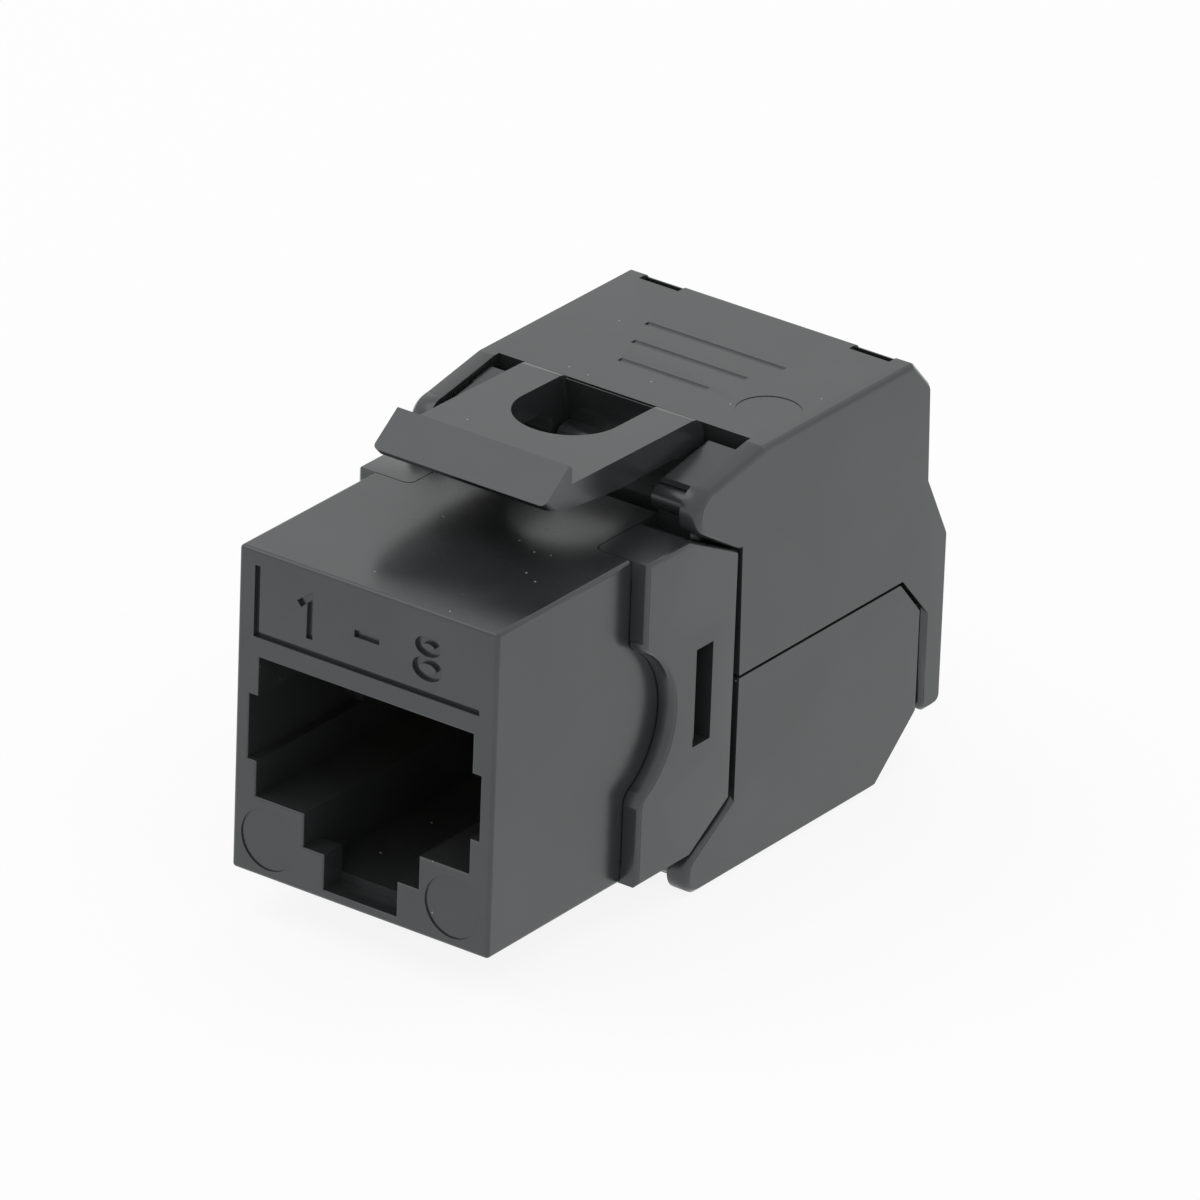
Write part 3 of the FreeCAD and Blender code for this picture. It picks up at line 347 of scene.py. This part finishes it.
def numberCutters(n, frontFace, top):
    centre = top - n["under"]
    high, low = centre + n["height"] / 2, centre - n["height"] / 2
    front, back = frontFace - over, frontFace + n["depth"]
    one = [(n["one"] - n["flag"], high - n["flag"]), (n["one"], high - n["stroke"] / 3), (n["one"], low)]
    dash = [(-n["dashHalf"], centre), (n["dashHalf"], centre)]
    made = [strokeCutter("one", one, n["stroke"], front, back, False),
            strokeCutter("dash", dash, n["stroke"], front, back, False)]
    angle = np.linspace(0, 2 * np.pi, n["loopPoints"], endpoint=False)
    (upperWide, upperTall), (lowerWide, lowerTall) = n["loops"]
    half = n["stroke"] / 2
    for label, wide, tall, middle in (("eightTop", upperWide, upperTall - half, high - upperTall),
                                      ("eightFoot", lowerWide, lowerTall - half, low + lowerTall)):
        ring = np.stack([n["eight"] + wide * np.cos(angle), middle + tall * np.sin(angle)], 1)
        made.append(strokeCutter(label, ring, n["stroke"], front, back, True))
    return made


# Every refined piece: its body, its slot in the record, its finish, and the rounding that its sharp edges get
pieces = {
    "front_housing": {"body": "body", "slot": "housing", "finish": "plastic", "rounding": 0.06},
    "rear_housing": {"body": "body", "slot": "housing", "finish": "plastic", "rounding": 0.06},
    "latch_lever": {"body": "lever", "slot": "housing", "finish": "plastic", "rounding": 0.07},
    "upper_wing": {"body": "upper", "slot": "housing", "finish": "plastic", "rounding": 0.06},
    "lower_wing": {"body": "lower", "slot": "housing", "finish": "plastic", "rounding": 0.06},
}
refining = {"merge": 0.0001, "flatAngle": 0.4, "roundAngle": 60.0, "smoothAngle": 50.0, "wideAngle": 4.0,
            "wideArea": 1.6, "segments": 2, "thinnest": 0.17, "shortest": 0.12}


# Where a piece can take its rounding: on convex edges between two broad faces
def markRounding(form, r):
    layer = form.edges.layers.float.new("bevel_weight_edge")
    sharp = math.radians(r["roundAngle"])
    thin = r["thinnest"] * mm
    for edge in form.edges:
        if len(edge.link_faces) != 2 or edge.calc_length() < r["shortest"] * mm:
            continue
        widths = [face.calc_area() / max(side.calc_length() for side in face.edges)
                  for face in edge.link_faces]
        if min(widths) > thin and edge.calc_face_angle_signed(0) > sharp:
            edge[layer] = 1.0


# Small shifts of a copy's points: those inside a box, given by two corners, move by a step.
def shift(mesh, moves):
    points = np.empty(len(mesh.vertices) * 3, np.float32)
    mesh.vertices.foreach_get("co", points)
    grid = points.reshape(-1, 3)
    for low, high, step in moves:
        inside = ((grid > np.array(low) * mm) & (grid < np.array(high) * mm)).all(1)
        grid[inside] += np.array(step, np.float32) * mm
    mesh.vertices.foreach_set("co", points)


# An edge is shaded sharp where it turns far, and also where two wide faces meet at a small angle.
def markSharp(form, r):
    for face in form.faces:
        face.smooth = True
    for edge in form.edges:
        if len(edge.link_faces) == 2:
            turn = math.degrees(edge.calc_face_angle(0))
            wide = min(face.calc_area() for face in edge.link_faces) > r["wideArea"] * mm * mm
            edge.smooth = turn < r["smoothAngle"] and not (wide and turn > r["wideAngle"])


# A copy of a CAD node: points moved and merged, then cut, flat faces joined up and sharp edges rounded
def refine(name, p, r, moves, cutters):
    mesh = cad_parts[name].data.copy()
    shift(mesh, moves)
    piece = place(name + "_finished", mesh)
    rework(mesh, lambda form: bmesh.ops.remove_doubles(form, verts=form.verts, dist=r["merge"] * mm))
    for cutter in cutters:
        bpy.context.scene.collection.objects.link(cutter)
        cut = piece.modifiers.new(cutter.name, "BOOLEAN")
        cut.operation, cut.solver, cut.object = "DIFFERENCE", "EXACT", cutter
        bpy.context.view_layer.update()
        carved = bpy.data.meshes.new_from_object(piece.evaluated_get(bpy.context.evaluated_depsgraph_get()))
        piece.modifiers.clear()
        piece.data = mesh = carved
        bpy.data.objects.remove(cutter)
    flat = math.radians(r["flatAngle"])
    rework(mesh,
           lambda form: bmesh.ops.dissolve_limit(form, angle_limit=flat, verts=form.verts, edges=form.edges),
           lambda form: markRounding(form, r),
           lambda form: markSharp(form, r))
    rounding = piece.modifiers.new("rounding", "BEVEL")
    rounding.limit_method, rounding.width, rounding.segments = "WEIGHT", p["rounding"] * mm, r["segments"]
    rounding.use_clamp_overlap = True
    shading = piece.modifiers.new("shading", "WEIGHTED_NORMAL")
    shading.keep_sharp = True
    mesh.materials.clear()
    mesh.materials.append(finishes[p["finish"]])
    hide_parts(name)
    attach(piece, p["body"])


# Depths in the next dictionaries count from the housing's front face, and heights from its underside.
housingLow, housingHigh = (np.array(corner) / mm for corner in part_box("front_housing"))
housingFront, housingTop = housingLow[1], housingHigh[2]
housingUnder = 2.1  # the wings reach this far below the housing's underside
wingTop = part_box("upper_wing")[1][2] / mm

# A notch between each ear and the wing's arm: two flat cuts that start at the ears' front
notch = {"inner": 6.86, "outer": 7.3, "low": 17.3, "tall": 6.0, "earFront": 14.95, "long": 2.0}


def notchCutters(n):
    middle = n["low"] + n["tall"] / 2 + housingUnder
    earFront = housingFront + n["earFront"]
    front, back = earFront - over, earFront + n["long"]
    spans = {"notchLeft": (-n["outer"], -n["inner"]), "notchRight": (n["inner"], n["outer"])}
    return [strokeCutter(label, [(a, middle), (b, middle)], n["tall"], front, back, False)
            for label, (a, b) in spans.items()]


# The lines on the wing are wide and shallow, its marks too, and its front corner comes down to the collar.
wingMarks = {"lines": (22.2, 24.2, 26.2), "width": 0.2, "depth": 0.1, "spread": 0.08, "newDepth": 0.075,
             "discDepth": 0.08, "newDisc": 0.03, "corner": 17.45, "cornerLow": 13.0, "cornerHigh": 16.0,
             "cornerStep": (0, -0.14, -0.28), "near": 0.005, "far": 50.0}


def wingMoves(w, top):
    near, far = w["near"], w["far"]
    corner = w["corner"] + housingFront
    low, high = w["cornerLow"] + housingUnder, w["cornerHigh"] + housingUnder
    moves = [((-far, corner - near, low), (far, corner + near, high), w["cornerStep"])]
    for line in w["lines"]:
        for side in (-1, 1):
            edge = line + side * w["width"] / 2 + housingFront
            moves.append(((-far, edge - near, top - near), (far, edge + near, top + near),
                          (0, side * w["spread"], 0)))
    for depth, newDepth in ((w["depth"], w["newDepth"]), (w["discDepth"], w["newDisc"])):
        floor = top - depth
        moves.append(((-far, -far, floor - near), (far, far, floor + near), (0, 0, depth - newDepth)))
    return moves


moves = {"upper_wing": wingMoves(wingMarks, wingTop)}
cutters = {"front_housing": numberCutters(numbers, housingFront, housingTop),
           "rear_housing": notchCutters(notch)}
for name, p in pieces.items():
    refine(name, p, refining, moves.get(name, ()), cutters.get(name, ()))
print("housings, lever and wings refined")


# A bar is a profile of depth and height carried along X: point (i, j) is (end i of a span, profile point j).
def buildBar(name, profile, spans, body):
    profile = np.asarray(profile) + (housingFront, housingUnder)
    count = len(profile)
    ends = np.asarray(spans).reshape(-1, 1, 1)
    grid = np.concatenate([np.broadcast_to(ends, (len(ends), count, 1)),
                           np.broadcast_to(profile, (len(ends), count, 2))], 2) * mm
    j = np.arange(count)
    quads = np.stack([j, (j + 1) % count, (j + 1) % count + count, j + count], 1)
    faces = []
    for first in range(0, len(ends) * count, 2 * count):
        faces += (quads + first).tolist() + [(j[::-1] + first).tolist(), (j + count + first).tolist()]
    mesh = bpy.data.meshes.new(name)
    mesh.from_pydata(grid.reshape(-1, 3), [], faces)
    rework(mesh, turnOutwards)
    mesh.shade_smooth()
    mesh.set_sharp_from_angle(angle=math.radians(refining["smoothAngle"]))
    mesh.materials.append(finishes["plastic"])
    piece = place(name, mesh)
    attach(piece, body)


# Shelf between the lever's two legs, with a thin wall behind it that leans forward. The shelf's front edge
# is a quarter circle: point = centre + round * (cos, sin) of the turn.
shelf = {"half": 2.45, "front": 17.3, "low": 16.4, "high": 17.3, "round": 0.7, "steps": 12,
         "wall": 18.45, "lean": 0.5, "rim": 0.04, "wallTop": 19.5, "back": 18.7}


def shelfProfile(s):
    turn = np.linspace(np.pi, np.pi / 2, s["steps"])
    rounded = np.stack([s["front"] + s["round"] * (1 + np.cos(turn)),
                        s["high"] + s["round"] * (np.sin(turn) - 1)], 1)
    leaning = s["wall"] - s["lean"]
    return [*rounded, (s["wall"], s["high"]), (leaning, s["wallTop"]), (leaning + s["rim"], s["wallTop"]),
            (s["back"], s["low"]), (s["front"], s["low"])]


# Low walls that close the two notches in the wing's rear edge: upright in front, sloping behind like the wing
walls = {"inner": 4.85, "outer": 7.1, "front": 30.62, "rim": 0.08, "foot": 30.95, "back": 32.05, "low": 17.3,
         "bend": 18.4, "high": 18.79}


def wallProfile(w):
    return [(w["foot"], w["low"]), (w["front"], w["bend"]), (w["front"], w["high"]),
            (w["front"] + w["rim"], w["high"]), (w["back"], w["low"])]


buildBar("lever_shelf", shelfProfile(shelf), (-shelf["half"], shelf["half"]), "body")
buildBar("wing_notch_walls", wallProfile(walls),
         (-walls["outer"], -walls["inner"], walls["inner"], walls["outer"]), "upper")
print("shelf and notch walls built")

# The other CAD pieces stay as they are and get their finish
others = {"contact_carrier": "plastic", "port_contact": "gold", "circuit_board": "board",
          "upper_wire_block": "plastic", "lower_wire_block": "plastic", "upper_blade": "tin",
          "lower_blade": "tin", "wire_manager": "pale"}
for name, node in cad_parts.items():
    finish = next((finishes[others[key]] for key in others if name.startswith(key)), finishes["plastic"])
    node.data.materials.clear()
    node.data.materials.append(finish)
print("other pieces finished")
